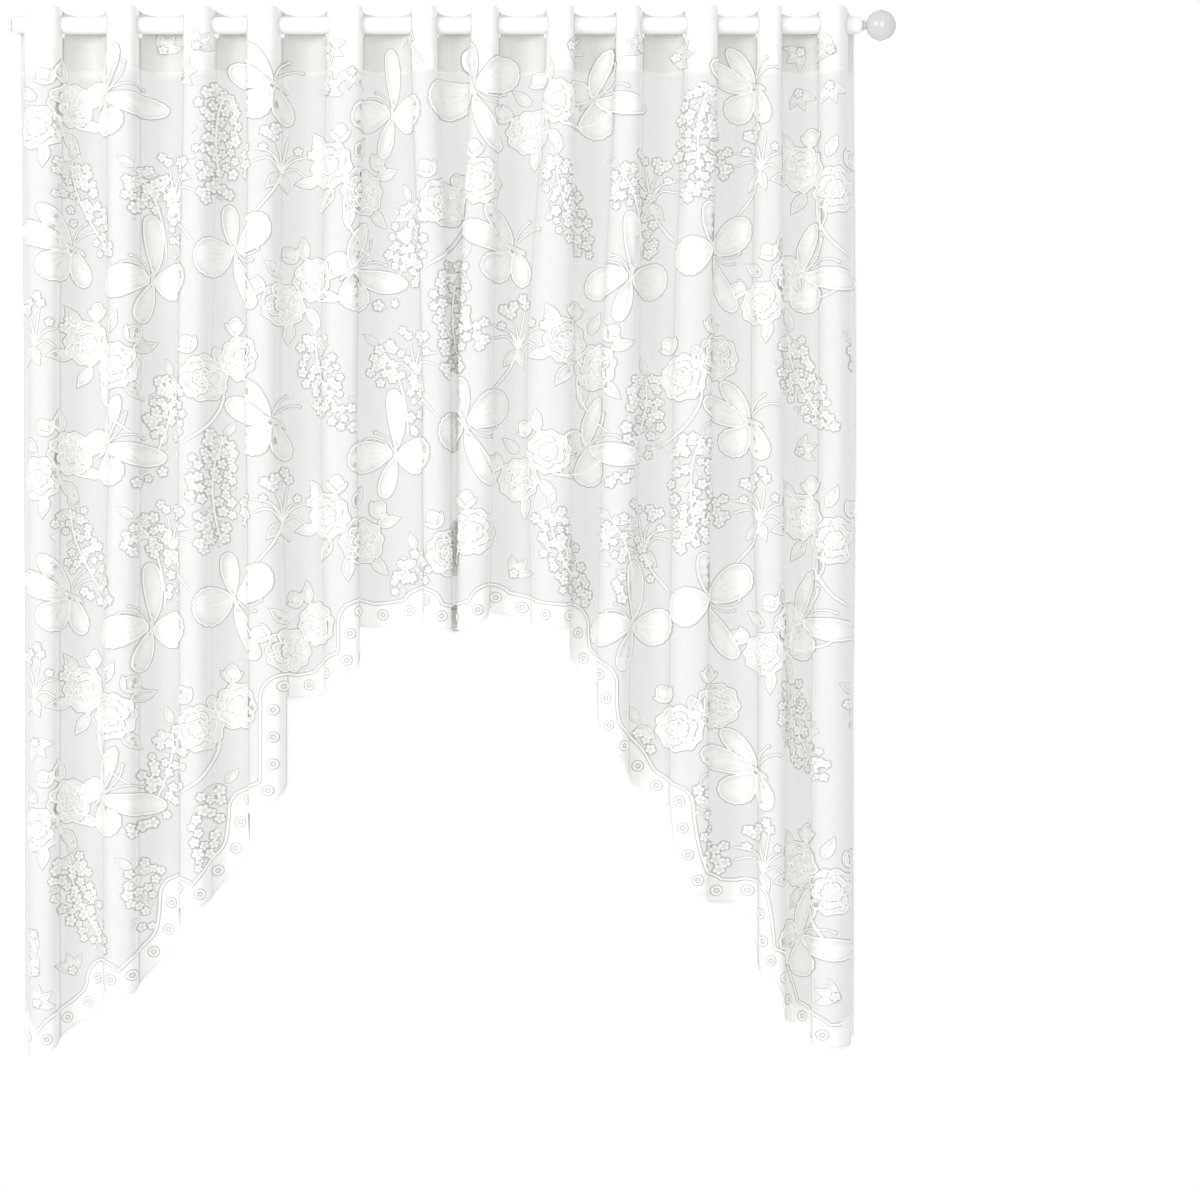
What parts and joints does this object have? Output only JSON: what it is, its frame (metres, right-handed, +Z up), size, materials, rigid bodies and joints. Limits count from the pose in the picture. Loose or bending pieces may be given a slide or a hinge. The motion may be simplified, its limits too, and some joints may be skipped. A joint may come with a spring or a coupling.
{
  "type": "cafe curtain on a rod",
  "caption": "Sheer lace swag cafe curtain threaded on a plain white rod with a ball finial; the scalloped hem is cut to an arch that leaves the middle of the window clear.",
  "frame": {"origin": "on the rod's centre line at half the rod's length, where the brackets that carry it are centred", "axes": "+Z up, +X along the rod towards the ball finial, -Y out of the curtain's front face"},
  "size_m": [1.0327, 0.0482, 1.2102],
  "materials": {
    "lace": "sheer woven ground with raised lace motifs",
    "rod_paint": "satin white",
    "ball_gloss": "high gloss"
  },
  "bodies": {
    "root": {"curtain": "lace", "rod": "rod_paint", "tip_finial": "rod_paint", "ball_finial": "ball_gloss"}
  },
  "joints": []
}
